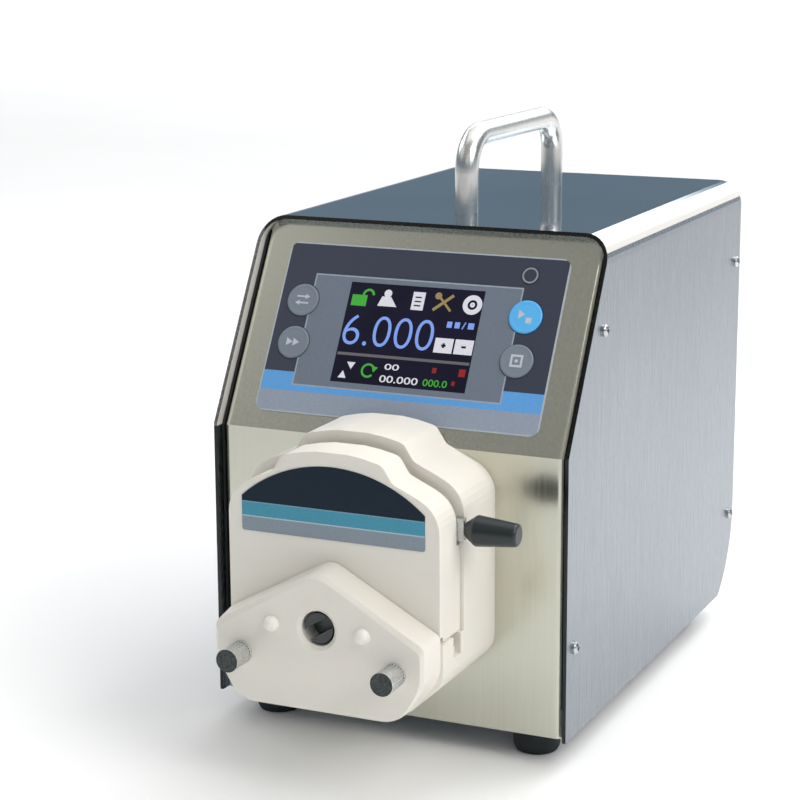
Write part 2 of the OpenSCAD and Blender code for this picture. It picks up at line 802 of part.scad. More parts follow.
module motor_bearings() {
  color("#c5c8ca") translate([0, 0, rz]) for (y = [motor_y + 8.9, motor_y + motor_len - 3]) difference() {
    rod(8, y, 5);
    rod(3.2, y + 1, 7);
  }
}

module motor_screws() {
  color(steel) for (x = [-1, 1], z = [-1, 1]) translate([x * 23.57, 0, rz + z * 23.57]) {
    rod(2.2, motor_y + motor_len + 0.1, motor_len + 5);
    rod(4, motor_y + motor_len + 3, 3);
  }
}

module power_supply() {
  color("#b9bcbd") difference() {
    translate([-72, front + 95, z0 + sheet]) cube([50, 92, 38]);
    for (i = [0 : 8]) translate([-66, front + 103 + i * 9, z0 + 37.5]) cube([38, 4, 4]);
  }
}

board_y = front + 86;
spacer_at = [[-10, board_y + 5], [66, board_y + 5], [-10, board_y + 95], [66, board_y + 95]];

module control_board() {
  color("#1f5c3a") translate([0, 0, z0 + 13]) difference() {
    union() {
      translate([-15, board_y, 0]) cube([86, 100, 1.6]);
      translate([0, board_y + 19, 1.6]) cube([28, 28, 12]);
      translate([40, board_y + 11, 1.6]) cube([24, 10, 9]);
      for (i = [0 : 3]) translate([6 + i * 13, board_y + 77, 1.6]) cylinder(r = 5, h = 16);
      translate([38, board_y + 37, 1.6]) cube([20, 20, 2.5]);
    }
    for (p = spacer_at) translate([p[0], p[1], -1]) cylinder(r = 1.7, h = 4);
  }
}

module board_spacers() {
  foot_z = z0 + sheet;
  rise = 13 - sheet;
  color("#c8a24a") for (p = spacer_at) translate([p[0], p[1], foot_z]) {
    cylinder(r = 3, h = rise, $fn = 6);
    cylinder(r = 1.5, h = rise + 1.7);
    translate([0, 0, rise + 1.6]) cylinder(r = 2.8, h = 2);
  }
}

// ---------- rear connections ----------

pin_at = [[-7, -2], [7, -2], [0, 2]];

module mains_inlet() {
  color(black) translate([rear_x, 0, inlet_z]) difference() {
    union() {
      slab(rear_y + 3, 3) polygon(rounded([[25, 0, 4], [14, 11.6, 4], [-14, 11.6, 4],
                                           [-25, 0, 4], [-14, -11.6, 4], [14, -11.6, 4]]));
      slab(rear_y + 0.1, 20) square([27, 19.6], center = true);
    }
    slab(rear_y + 4, 20) polygon([[12, -8.2], [12, 4.8], [8.6, 8.2], [-8.6, 8.2], [-12, 4.8], [-12, -8.2]]);
    for (x = [-20, 20]) translate([x, 0, 0]) rod(1.7, rear_y + 4, 5);
    for (p = pin_at) translate([p[0] - 1.05, rear_y - 25, p[1] - 2.05]) cube([2.1, 12, 4.1]);
  }
}

module inlet_pins() {
  color("#d9c27a") translate([rear_x, 0, inlet_z]) for (p = pin_at) {
    translate([p[0] - 1, rear_y - 25, p[1] - 2]) cube([2, 24, 4]);
  }
}

rocker_y = rear_y - 1.4;

module switch_frame() {
  color(black) translate([rear_x, 0, switch_z]) difference() {
    union() {
      slab(rear_y + 1.6, 1.6) rect_r(15, 21, 1.5);
      slab(rear_y + 0.1, 14) square([12.7, 19.2], center = true);
    }
    slab(rear_y + 3, 9) square([10.6, 16.4], center = true);
  }
  color(black) for (x = [-5.4, 3.4]) {
    translate([rear_x, rocker_y, switch_z]) bar_x(0.75, x, 2);
  }
}

// Rocker: a shallow V in profile, turning about X on the frame's two stub pins
module power_rocker() {
  color("#2a2c2e") translate([rear_x, rocker_y, switch_z]) rotate([-9, 0, 0]) difference() {
    translate([-5, 0, 0]) rotate([90, 0, 90]) linear_extrude(10)
      polygon([[-2.4, -4.4], [2.6, -7], [1.6, 0], [2.6, 7], [-2.4, 4.4]]);
    bar_x(0.8, -6, 12);
  }
}

module fuse_holder() {
  color(black) translate([rear_x, 0, fuse_z]) difference() {
    union() {
      rod(8, rear_y + 6, 6);
      rod(6, rear_y + 0.1, 26);
    }
    translate([-6, rear_y + 4.6, -0.8]) cube([12, 4, 1.6]);
  }
}

module signal_port() {
  color("#b9bcbd") translate([port_x, 0, inlet_z]) {
    difference() {
      union() {
        slab(rear_y + 1, 1) rect_r(39, 12.6, 1.5);
        slab(rear_y + 5.6, 5) polygon(rounded([[-12, -4.2, 1.5], [12, -4.2, 1.5],
                                               [10.8, 4.2, 1.5], [-10.8, 4.2, 1.5]]));
        slab(rear_y + 0.1, 10) square([24, 9.8], center = true);
      }
      for (x = [-16.65, 16.65]) translate([x, 0, 0]) rod(1.6, rear_y + 2, 4);
      for (i = [-3.5 : 1 : 3.5]) translate([i * 2.7, 0, 1.4]) rod(0.6, rear_y + 6, 4);
      for (i = [-3 : 1 : 3]) translate([i * 2.7, 0, -1.4]) rod(0.6, rear_y + 6, 4);
    }
  }
}

module rating_plate() {
  color("#d0d2d3") translate([port_x, 0, z0 + 113]) slab(rear_y + 0.3, 0.3) rect_r(52, 26, 2);
}

wrap_cover();
front_panel();
panel_gasket();
base_pan();
rear_panel();
case_screws();
foot_front_left();
foot_front_right();
foot_rear_left();
foot_rear_right();
foot_screws();
carry_handle();
handle_screws();
keypad_overlay();
screen_glass();
lcd_module();
key_direction();
key_prime();
key_start();
key_menu();
status_lens();
keypad_board();
board_posts();
head_body();
head_back_plate();
head_front_plate();
plate_caps();
head_thumbscrews();
occlusion_jaw();
jaw_label();
jaw_posts();
yoke_plate();
lever_arm();
lever_knob();
lever_crank();
rotor_carrier();
roller_pins();
roller_1();
roller_2();
roller_3();
rotor_shaft();
head_bearings();
drive_dog();
motor_bracket();
motor_front_cap();
motor_stator();
motor_rear_cap();
motor_rotor();
motor_bearings();
motor_screws();
power_supply();
control_board();
board_spacers();
mains_inlet();
inlet_pins();
switch_frame();
power_rocker();
fuse_holder();
signal_port();
rating_plate();
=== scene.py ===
import math

import bmesh
import bpy
from mathutils import Matrix, Vector


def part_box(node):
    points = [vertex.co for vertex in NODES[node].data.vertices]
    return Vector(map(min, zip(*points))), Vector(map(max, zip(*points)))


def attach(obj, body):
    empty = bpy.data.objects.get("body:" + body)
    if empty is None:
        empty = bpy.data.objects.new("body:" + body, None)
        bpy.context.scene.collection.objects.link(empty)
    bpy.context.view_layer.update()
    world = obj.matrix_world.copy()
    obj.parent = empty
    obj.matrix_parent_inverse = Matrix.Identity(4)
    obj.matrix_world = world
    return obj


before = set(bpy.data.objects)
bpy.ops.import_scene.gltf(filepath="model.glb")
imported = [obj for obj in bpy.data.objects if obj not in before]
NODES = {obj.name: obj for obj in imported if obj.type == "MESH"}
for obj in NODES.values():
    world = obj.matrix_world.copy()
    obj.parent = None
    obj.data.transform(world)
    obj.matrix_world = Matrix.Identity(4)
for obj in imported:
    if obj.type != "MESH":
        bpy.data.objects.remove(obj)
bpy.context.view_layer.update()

MM = 0.001

# ---------------------------------------------------------------- measures, in metres
cover_lo, cover_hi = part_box("wrap_cover")
FRONT = cover_lo[1]
TOP = cover_hi[2]
HALF_W = cover_hi[0]
SLOPE_H, SLOPE_BACK = 81 * MM, 47 * MM
KNEE = TOP - SLOPE_H
SLOPE = math.atan2(SLOPE_H, SLOPE_BACK)
RECESS = 3 * MM
SHEET = 1.5 * MM
FACE = -RECESS                      # sloped panel face, along its normal
LABEL_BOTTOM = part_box("jaw_label")[0][2]
PRINT_H = 0.06 * MM                 # height of printed shapes


def slope_matrix(n=0.0):
    """Frame of the sloped face: x across, y up the slope, z outwards, n off the panel."""
    place = Matrix.Translation((0, FRONT, KNEE)) @ Matrix.Rotation(SLOPE, 4, "X")
    return place @ Matrix.Translation((0, 0, FACE + n))


# ---------------------------------------------------------------- material kit
def linear(rgb):
    """8-bit display values to linear colour."""
    out = []
    for v in rgb:
        v = v / 255
        out.append(v / 12.92 if v <= 0.04045 else ((v + 0.055) / 1.055) ** 2.4)
    return (*out, 1.0)


def scaled(colour, factor):
    """Linear colour made darker or lighter, up to white."""
    return (*[min(1, v * factor) for v in colour[:3]], 1)


class Mat:
    """A Principled material with short calls for the procedural nodes it needs."""

    def __init__(self, name, colour=(128, 128, 128), metallic=0.0, rough=0.5, **sockets):
        self.mat = bpy.data.materials.new(name)
        self.mat.use_nodes = True
        self.tree = self.mat.node_tree
        self.tree.nodes.clear()
        self.out = self.tree.nodes.new("ShaderNodeOutputMaterial")
        self.bsdf = self.tree.nodes.new("ShaderNodeBsdfPrincipled")
        self.tree.links.new(self.bsdf.outputs["BSDF"], self.out.inputs["Surface"])
        self.set("Base Color", linear(colour))
        self.set("Metallic", metallic)
        self.set("Roughness", rough)
        for key, value in sockets.items():
            self.set(key.replace("_", " "), value)
        self.colour = linear(colour)
        self.coord = self.tree.nodes.new("ShaderNodeTexCoord")

    def set(self, socket, value):
        self.bsdf.inputs[socket].default_value = value

    def link(self, a, b):
        self.tree.links.new(a, b)

    def position(self, scale=(1, 1, 1), matrix=None):
        """Object-space position, in metres, optionally in the frame of matrix, then scaled."""
        vec = self.coord.outputs["Object"]
        if matrix is not None:
            inv = matrix.inverted()
            mp = self.tree.nodes.new("ShaderNodeMapping")
            mp.inputs["Location"].default_value = inv.to_translation()
            mp.inputs["Rotation"].default_value = inv.to_euler("XYZ")
            self.link(vec, mp.inputs["Vector"])
            vec = mp.outputs["Vector"]
        if scale != (1, 1, 1):
            mp = self.tree.nodes.new("ShaderNodeMapping")
            mp.inputs["Scale"].default_value = scale
            self.link(vec, mp.inputs["Vector"])
            vec = mp.outputs["Vector"]
        return vec

    def noise(self, vec, scale=1.0, detail=3.0, rough=0.55):
        n = self.tree.nodes.new("ShaderNodeTexNoise")
        n.inputs["Scale"].default_value = scale
        n.inputs["Detail"].default_value = detail
        n.inputs["Roughness"].default_value = rough
        self.link(vec, n.inputs["Vector"])
        return n.outputs["Fac"]

    def math(self, op, a, b=None, c=None):
        n = self.tree.nodes.new("ShaderNodeMath")
        n.operation = op
        for i, v in enumerate((a, b, c)):
            if v is None:
                continue
            if isinstance(v, (int, float)):
                n.inputs[i].default_value = v
            else:
                self.link(v, n.inputs[i])
        return n.outputs[0]

    def spread(self, fac, low, high, start=0.3, end=0.7):
        n = self.tree.nodes.new("ShaderNodeMapRange")
        n.inputs["From Min"].default_value = start
        n.inputs["From Max"].default_value = end
        n.inputs["To Min"].default_value = low
        n.inputs["To Max"].default_value = high
        self.link(fac, n.inputs["Value"])
        return n.outputs["Result"]

    def mix(self, fac, a, b):
        n = self.tree.nodes.new("ShaderNodeMix")
        n.data_type = "RGBA"
        for i, v in ((0, fac), (6, a), (7, b)):
            if hasattr(v, "is_output"):
                self.link(v, n.inputs[i])
            else:
                n.inputs[i].default_value = v
        return n.outputs[2]

    def bump(self, height, strength, distance):
        n = self.tree.nodes.new("ShaderNodeBump")
        n.inputs["Strength"].default_value = strength
        n.inputs["Distance"].default_value = distance
        self.link(height, n.inputs["Height"])
        previous = self.bsdf.inputs["Normal"].links
        if previous:
            self.link(previous[0].from_socket, n.inputs["Normal"])
        self.link(n.outputs["Normal"], self.bsdf.inputs["Normal"])

    def vary(self, fac, amount, start=0.3, end=0.7):
        """Colour runs from darker to lighter by amount with fac."""
        dark, light = scaled(self.colour, 1 - amount), scaled(self.colour, 1 + amount)
        out = self.mix(self.spread(fac, 0, 1, start, end), dark, light)
        self.link(out, self.bsdf.inputs["Base Color"])

    def box_mask(self, x, y, x0, x1, y0, y1):
        """1 inside the rectangle, 0 outside."""
        a = self.math("COMPARE", x, (x0 + x1) / 2, (x1 - x0) / 2)
        b = self.math("COMPARE", y, (y0 + y1) / 2, (y1 - y0) / 2)
        return self.math("MULTIPLY", a, b)

    def split(self, vec):
        n = self.tree.nodes.new("ShaderNodeSeparateXYZ")
        self.link(vec, n.inputs[0])
        return n.outputs


FINE_BUMP, SKIN_BUMP, PRINT_BUMP = 0.00003, 0.00005, 0.00004     # bump depth in metres
GRAIN_ALONG = {"x": (25, 1400, 1400), "y": (1400, 25, 1400), "z": (1400, 1400, 25)}


def brushed(name, colour, rough=0.3, along="z", streak=0.07, bump=0.12, spread=0.06, **sockets):
    m = Mat(name, colour, 1.0, rough, **sockets)
    fine = m.noise(m.position(GRAIN_ALONG[along]), 1.0, 4.0, 0.6)
    soft = m.noise(m.position(), 14.0, 2.0)
    both = m.math("ADD", m.math("MULTIPLY", fine, 0.75), m.math("MULTIPLY", soft, 0.25))
    m.vary(both, streak)
    m.link(m.spread(both, rough - spread, rough + spread), m.bsdf.inputs["Roughness"])
    m.bump(fine, bump, FINE_BUMP)
    return m


def moulded(name, colour, rough=0.4, grain=900.0, bump=0.08, tint=0.025, **sockets):
    """Moulded plastic: faint mottling, a fine skin and slightly uneven gloss."""
    m = Mat(name, colour, 0.0, rough, **sockets)
    cloud = m.noise(m.position(), 22.0, 3.0)
    skin = m.noise(m.position(), grain, 2.0)
    m.vary(cloud, tint)
    m.link(m.spread(cloud, rough - 0.05, rough + 0.05), m.bsdf.inputs["Roughness"])
    m.bump(skin, bump, SKIN_BUMP)
    return m


def turned(name, colour, rough=0.25, **sockets):
    """Machined metal: fine marks, small changes of tone."""
    m = Mat(name, colour, 1.0, rough, **sockets)
    marks = m.noise(m.position(), 1200.0, 3.0)
    tone = m.noise(m.position(), 60.0, 2.0)
    m.vary(tone, 0.08)
    m.link(m.spread(marks, rough - 0.06, rough + 0.08), m.bsdf.inputs["Roughness"])
    m.bump(marks, 0.06, FINE_BUMP)
    return m


def glow(name, colour, strength):
    """Lit pixels of the screen, with a faint pixel grid."""
    m = Mat(name, (8, 9, 12), 0.0, 0.25)
    pix = m.noise(m.position(), 2600.0, 1.0)
    lit = m.mix(m.spread(pix, 0, 1), scaled(linear(colour), 0.8), linear(colour))
    m.link(lit, m.bsdf.inputs["Emission Color"])
    m.set("Emission Strength", strength)
    return m


# ---------------------------------------------------------------- materials
def cover_material():
    """Sides brushed, roof polished, cut edges painted dark as shade but painted lighter as light beside
    the slope at the left, inside wall beside the slope painted pale as light.
    """
    m = Mat("cover_stainless", (206, 208, 208), 1.0, 0.3)
    fine = m.noise(m.position(GRAIN_ALONG["z"]), 1.0, 4.0, 0.6)
    soft = m.noise(m.position(), 9.0, 2.0)
    both = m.math("ADD", m.math("MULTIPLY", fine, 0.7), m.math("MULTIPLY", soft, 0.3))
    facing = m.split(m.coord.outputs["Normal"])
    roof = m.spread(facing[2], 0, 1, 0.62, 0.985)
    pos = m.split(m.position())
    across = pos[0]
    slope_zone = m.math("GREATER_THAN", pos[2], KNEE - 1 * MM)
    sideways = m.math("GREATER_THAN", m.math("ABSOLUTE", facing[0]), 0.5)
    inside = m.math("LESS_THAN", m.math("ABSOLUTE", across), HALF_W - SHEET / 2)
    inner = m.math("MULTIPLY", m.math("MULTIPLY", sideways, inside), slope_zone)
    left = m.math("MULTIPLY", slope_zone, m.math("LESS_THAN", across, -HALF_W + 1.5 * SHEET))
    cut = m.math("GREATER_THAN", m.math("ABSOLUTE", facing[1]), 0.5)
    side_rough = m.spread(both, 0.22, 0.32)
    polished = m.spread(soft, 0.04, 0.08)
    blend = m.math("ADD", m.math("MULTIPLY", side_rough, m.math("SUBTRACT", 1.0, roof)),
                   m.math("MULTIPLY", polished, roof))
    m.link(m.math("MAXIMUM", blend, m.math("MULTIPLY", inner, 0.5)), m.bsdf.inputs["Roughness"])
    m.link(m.math("SUBTRACT", 1.0, m.math("MULTIPLY", inner, 0.7)), m.bsdf.inputs["Metallic"])

    def steel(fac, dark, light):
        return m.mix(m.spread(fac, 0, 1), linear(dark), linear(light))

    side = steel(both, (124, 132, 140), (152, 158, 164))
    top = steel(soft, (186, 198, 208), (200, 210, 218))
    # Painted shade: cut edges darkened for the shaded seam. Painted light: the left cut edge beside the
    # slope made lighter.
    painted_shade_edge = steel(both, (40, 42, 42), (62, 63, 62))
    painted_lit_edge = steel(both, (112, 112, 110), (134, 134, 131))
    # Painted light: the inside wall beside the slope made pale, rough and less metallic so that it reads
    # lit.
    painted_lit_wall = steel(both, (206, 202, 197), (222, 219, 214))
    outside = m.mix(cut, m.mix(roof, side, top), m.mix(left, painted_shade_edge, painted_lit_edge))
    m.link(m.mix(inner, outside, painted_lit_wall), m.bsdf.inputs["Base Color"])
    m.bump(m.math("MULTIPLY", fine, m.math("SUBTRACT", 1.0, roof)), 0.12, FINE_BUMP)
    return m


def overlay_material():
    """Printed film: dark field, grey surround, blue and grey strips, pale border."""
    m = Mat("overlay_print", (58, 64, 80), 0.0, 0.34)
    pos = m.split(m.position(matrix=slope_matrix()))
    x, s = pos[0], pos[1]
    grain = m.noise(m.position(), 1500.0, 2.0)
    tone = m.spread(grain, 0, 1)

    def ink(rgb):
        return m.mix(tone, scaled(linear(rgb), 0.93), scaled(linear(rgb), 1.07))

    col = ink((176, 184, 190))
    for rect, rgb in (((-61.9, 61.9, 9.1, 82.4), (54, 60, 76)),
                      ((-61.9, 61.9, 9.1, 26.0), (96, 164, 226)),
                      ((-61.9, 61.9, 9.1, 17.8), (150, 160, 176)),
                      ((-48.1, 44.6, 20.4, 69.6), (158, 170, 184)),
                      ((-47.5, 44.0, 21.0, 69.0), (112, 122, 136))):
        col = m.mix(m.box_mask(x, s, *[v * MM for v in rect]), col, ink(rgb))
    m.link(col, m.bsdf.inputs["Base Color"])
    m.bump(grain, 0.05, PRINT_BUMP)
    return m


def label_material():
    """Head label: navy field over a blue strip and a grey strip."""
    m = Mat("label_print", (20, 30, 40), 0.0, 0.42, Specular_IOR_Level=0.2)
    z = m.split(m.position())[2]
    grain = m.noise(m.position(), 1300.0, 2.0)
    tone = m.spread(grain, 0, 1)

    def ink(rgb):
        return m.mix(tone, scaled(linear(rgb), 0.92), scaled(linear(rgb), 1.08))

    col = ink((138, 150, 160))
    for start, rgb in ((5.6, (176, 196, 208)), (6.1, (76, 150, 174)), (11.4, (120, 160, 180)),
                       (11.8, (16, 34, 48))):
        above = m.math("GREATER_THAN", z, LABEL_BOTTOM + start * MM)
        col = m.mix(above, col, ink(rgb))
    m.link(col, m.bsdf.inputs["Base Color"])
    return m


def glass_material():
    m = Mat("screen_window", (16, 14, 40), 0.0, 0.16, Specular_IOR_Level=0.3)
    haze = m.noise(m.position(), 70.0, 2.0)
    m.vary(haze, 0.2)
    m.link(m.spread(haze, 0.12, 0.2), m.bsdf.inputs["Roughness"])
    return m


def knurl_material():
    """Bright turned sides, with end faces painted dark as shade."""
    m = Mat("thumbscrew_steel", (206, 208, 208), 1.0, 0.18)
    marks = m.noise(m.position(), 1200.0, 3.0)
    # Painted shade: end faces along the screw's axis darkened against the bright sides.
    end = m.math("GREATER_THAN", m.math("ABSOLUTE", m.split(m.coord.outputs["Normal"])[1]), 0.8)
    bright = m.mix(m.spread(marks, 0, 1), linear((206, 208, 208)), linear((236, 236, 234)))
    dark = m.mix(m.spread(marks, 0, 1), linear((52, 56, 57)), linear((84, 88, 88)))
    m.link(m.mix(end, bright, dark), m.bsdf.inputs["Base Color"])
    m.link(m.spread(marks, 0.3, 0.45), m.bsdf.inputs["Roughness"])
    m.bump(marks, 0.06, FINE_BUMP)
    return m


mats = {
    "cover": cover_material(),
    "panel": brushed("panel_stainless", (198, 198, 185), 0.22, "z", 0.06, 0.08, 0.05),
    "knurl": knurl_material(),
    "zinc": brushed("zinc_sheet", (170, 173, 176), 0.38, "x", 0.06, 0.08),
    "chrome": brushed("satin_bar", (222, 220, 216), 0.26, "z", 0.03, 0.03, 0.03),
    "screw": turned("screw_steel", (196, 198, 200), 0.25),
    "shaft": turned("shaft_steel", (74, 76, 76), 0.34),
    "cast": moulded("cast_aluminium", (176, 178, 180), 0.42, 700.0, 0.2, 0.05, Metallic=1.0),
    "brass": turned("brass_plain", (196, 168, 104), 0.3),
    "rubber": moulded("black_rubber", (22, 31, 33), 0.7, 800.0, 0.3, 0.2),
    "gasket": moulded("gasket_rubber", (24, 27, 28), 0.75, 900.0, 0.3, 0.2),
    "ivory": moulded("ivory_plastic", (233, 228, 218), 0.42, 500.0, 0.05, 0.02,
                     Subsurface_Weight=0.08, Subsurface_Scale=0.002),
    "white": moulded("white_cap", (240, 236, 228), 0.3, 500.0, 0.05, 0.02),
    "roller": moulded("roller_acetal", (228, 228, 224), 0.28, 500.0, 0.05, 0.02),
    "black": moulded("black_plastic", (32, 39, 40), 0.32, 600.0, 0.12, 0.2),
    "motor": moulded("black_laminations", (28, 28, 29), 0.5, 900.0, 0.4, 0.2),
    "circuit": moulded("solder_mask", (30, 92, 58), 0.35, 300.0, 0.3, 0.15),
    "overlay": overlay_material(),
    "label": label_material(),
    "glass": glass_material(),
    "key_grey": moulded("key_film", (122, 131, 144), 0.45, 900.0, 0.08, 0.05),
    "key_blue": moulded("key_film_blue", (90, 184, 244), 0.42, 900.0, 0.08, 0.05),
    "mark_pale": moulded("mark_pale", (196, 202, 210), 0.4, 900.0, 0.05, 0.03),
    "mark_grey": moulded("mark_grey", (140, 147, 156), 0.4, 900.0, 0.05, 0.03),
    "lens": moulded("status_lens", (52, 58, 72), 0.3, 900.0, 0.05, 0.05),
    "plate": brushed("rating_aluminium", (196, 198, 200), 0.4, "x", 0.04, 0.05),
}

LOOK = {
    "wrap_cover": "cover", "front_panel": "panel", "panel_gasket": "gasket", "base_pan": "zinc",
    "rear_panel": "zinc", "case_screws": "screw", "foot_front_left": "rubber",
    "foot_front_right": "rubber", "foot_rear_left": "rubber", "foot_rear_right": "rubber",
    "foot_screws": "screw", "carry_handle": "chrome", "handle_screws": "screw",
    "keypad_overlay": "overlay", "screen_glass": "glass", "lcd_module": "black",
    "key_direction": "key_grey", "key_prime": "key_grey", "key_start": "key_blue",
    "key_menu": "key_grey", "status_lens": "lens", "keypad_board": "circuit",
    "board_posts": "screw", "head_body": "ivory", "head_back_plate": "cast",
    "head_front_plate": "ivory", "plate_caps": "white", "head_thumbscrews": "knurl",
    "occlusion_jaw": "ivory", "jaw_label": "label", "jaw_posts": "shaft", "yoke_plate": "zinc",
    "lever_arm": "screw", "lever_knob": "black", "lever_crank": "shaft",
    "rotor_carrier": "cast", "roller_pins": "shaft", "roller_1": "roller", "roller_2": "roller",
    "roller_3": "roller", "rotor_shaft": "shaft", "head_bearings": "screw", "drive_dog": "shaft",
    "motor_bracket": "zinc", "motor_front_cap": "cast", "motor_stator": "motor",
    "motor_rear_cap": "cast", "motor_rotor": "shaft", "motor_bearings": "screw",
    "motor_screws": "screw", "power_supply": "zinc", "control_board": "circuit",
    "board_spacers": "brass", "mains_inlet": "black", "inlet_pins": "brass",
    "switch_frame": "black", "power_rocker": "black", "fuse_holder": "black",
    "signal_port": "zinc", "rating_plate": "plate",
}
for node, look in LOOK.items():
    obj = NODES[node]
    for i in range(max(1, len(obj.material_slots))):
        if not obj.material_slots:
            obj.data.materials.append(mats[look].mat)
        obj.material_slots[i].material = mats[look].mat


# ---------------------------------------------------------------- softened CAD edges
EDGE_SEGMENTS = 3
FLAT_ANGLE, EDGE_ANGLE = 2, 30      # degrees


def soften(node, width):
    """Real edges of a CAD node rounded by modifiers; its mesh stays as packed."""
    obj = NODES[node]
    flat = obj.modifiers.new("flat", "DECIMATE")
    flat.decimate_type = "DISSOLVE"
    flat.angle_limit = math.radians(FLAT_ANGLE)
    edge = obj.modifiers.new("edge", "BEVEL")
    edge.width = width * MM
    edge.segments = EDGE_SEGMENTS
    edge.limit_method = "ANGLE"
    edge.angle_limit = math.radians(EDGE_ANGLE)
    edge.harden_normals = True
    smooth = obj.modifiers.new("smooth", "WEIGHTED_NORMAL")
    smooth.keep_sharp = True


for node, width in (("head_front_plate", 0.8), ("occlusion_jaw", 1.2), ("head_body", 1.2),
                    ("lever_arm", 0.3), ("rear_panel", 0.3), ("mains_inlet", 0.4),
                    ("switch_frame", 0.3), ("fuse_holder", 0.5), ("rotor_shaft", 0.3)):
    soften(node, width)


# ---------------------------------------------------------------- flat shapes for prints and icons
def box2(x0, y0, x1, y1):
    return [(x0, y0), (x1, y0), (x1, y1), (x0, y1)]


def disc2(cx, cy, r, n=32):
    return [(cx + r * math.cos(2 * math.pi * i / n), cy + r * math.sin(2 * math.pi * i / n))
            for i in range(n)]


def arc2(cx, cy, r0, r1, a0, a1, n=24):
    """Ring sector as quads."""
    out = []
    for i in range(n):
        t0 = math.radians(a0 + (a1 - a0) * i / n)
        t1 = math.radians(a0 + (a1 - a0) * (i + 1) / n)
        out.append([(cx + r0 * math.cos(t0), cy + r0 * math.sin(t0)),
                    (cx + r1 * math.cos(t0), cy + r1 * math.sin(t0)),
                    (cx + r1 * math.cos(t1), cy + r1 * math.sin(t1)),
                    (cx + r0 * math.cos(t1), cy + r0 * math.sin(t1))])
    return out


def bar2(x0, y0, x1, y1, w):
    d = Vector((x1 - x0, y1 - y0)).normalized() * w / 2
    return [(x0 + d.y, y0 - d.x), (x1 + d.y, y1 - d.x), (x1 - d.y, y1 + d.x), (x0 - d.y, y0 + d.x)]


def add_piece(name, mesh, body):
    obj = bpy.data.objects.new(name, mesh)
    bpy.context.scene.collection.objects.link(obj)
    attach(obj, body)


def prints(name, groups, matrix, body):
    """One thin raised piece of flat shapes: groups is a list of (material, polygons in mm)."""
    mesh = bpy.data.meshes.new(name)
    bm = bmesh.new()
    for k, (mat, polys) in enumerate(groups):
        mesh.materials.append(mat.mat)
        for poly in polys:
            low = [bm.verts.new((x * MM, y * MM, 0)) for x, y in poly]
            high = [bm.verts.new((x * MM, y * MM, PRINT_H)) for x, y in poly]
            faces = [bm.faces.new(list(reversed(low))), bm.faces.new(high)]
            for i in range(len(poly)):
                j = (i + 1) % len(poly)
                faces.append(bm.faces.new((low[i], low[j], high[j], high[i])))
            for f in faces:
                f.material_index = k
    bmesh.ops.recalc_face_normals(bm, faces=bm.faces)
    bm.transform(matrix)
    bm.to_mesh(mesh)
    bm.free()
    add_piece(name, mesh, body)


def digits(name, text, x, y, height, width, mat, matrix, weight):
    """Generic numerals as a thin raised mesh, width and height in mm, from x, y."""
    curve = bpy.data.curves.new(name + "_curve", "FONT")
    curve.body = text
    curve.size = 1.0
    curve.offset = weight
    curve.resolution_u = 6
    temp = bpy.data.objects.new(name + "_temp", curve)
    bpy.context.scene.collection.objects.link(temp)
    bpy.context.view_layer.update()
    depsgraph = bpy.context.evaluated_depsgraph_get()
    mesh = bpy.data.meshes.new_from_object(temp.evaluated_get(depsgraph))
    bpy.data.objects.remove(temp)
    xs = [v.co.x for v in mesh.vertices]
    ys = [v.co.y for v in mesh.vertices]
    for v in mesh.vertices:
        u = (v.co.x - min(xs)) / (max(xs) - min(xs))
        w = (v.co.y - min(ys)) / (max(ys) - min(ys))
        v.co = ((x + u * width) * MM, (y + w * height) * MM, PRINT_H)
    mesh.transform(matrix)
    mesh.name = name
    mesh.materials.clear()
    mesh.materials.append(mat.mat)
    add_piece(name, mesh, "case")


lit = {
    "white": glow("lit_white", (235, 235, 245), 0.9),
    "blue": glow("lit_blue", (130, 165, 245), 1.0),
    "green": glow("lit_green", (70, 190, 60), 0.8),
    "gold": glow("lit_gold", (170, 150, 95), 0.8),
    "grey": glow("lit_grey", (120, 115, 122), 0.7),
    "red": glow("lit_red", (170, 30, 35), 0.7),
    "dark": glow("lit_dark", (20, 22, 34), 0.4),
}


ICON_ROW, KEY_ROW, LOW_ROW = 61.0, 39.5, 25.0       # mm up the slope


def top_icons(row):
    """Padlock, flask, list, tools and a ring, along the top of the screen."""
    lock = [box2(-29.6, row - 4.2, -22.8, row + 0.6)] + arc2(-22.4, row + 0.8, 1.7, 2.7, 0, 180)
    lock.append(box2(-25.1, row + 0.4, -24.1, row + 1.4))
    flask = [[(-17.6, row - 3.6), (-9.0, row - 3.6), (-12.2, row + 0.6), (-16.2, row + 0.6)],
              disc2(-13.8, row + 2.0, 1.7)]
    sheet = [box2(-2.6, row - 4.2, 2.8, row + 3.6)]
    ring = arc2(24.0, row - 0.2, 2.1, 4.2, 0, 360, 40) + arc2(24.0, row - 0.2, 0.2, 1.1, 0, 360, 16)
    tools = [bar2(7.2, row - 3.6, 15.2, row + 3.2, 1.3), bar2(15.0, row - 3.6, 9.2, row + 2.2, 1.0),
             disc2(8.6, row + 2.6, 1.5)]
    return lock, flask + sheet + ring, tools


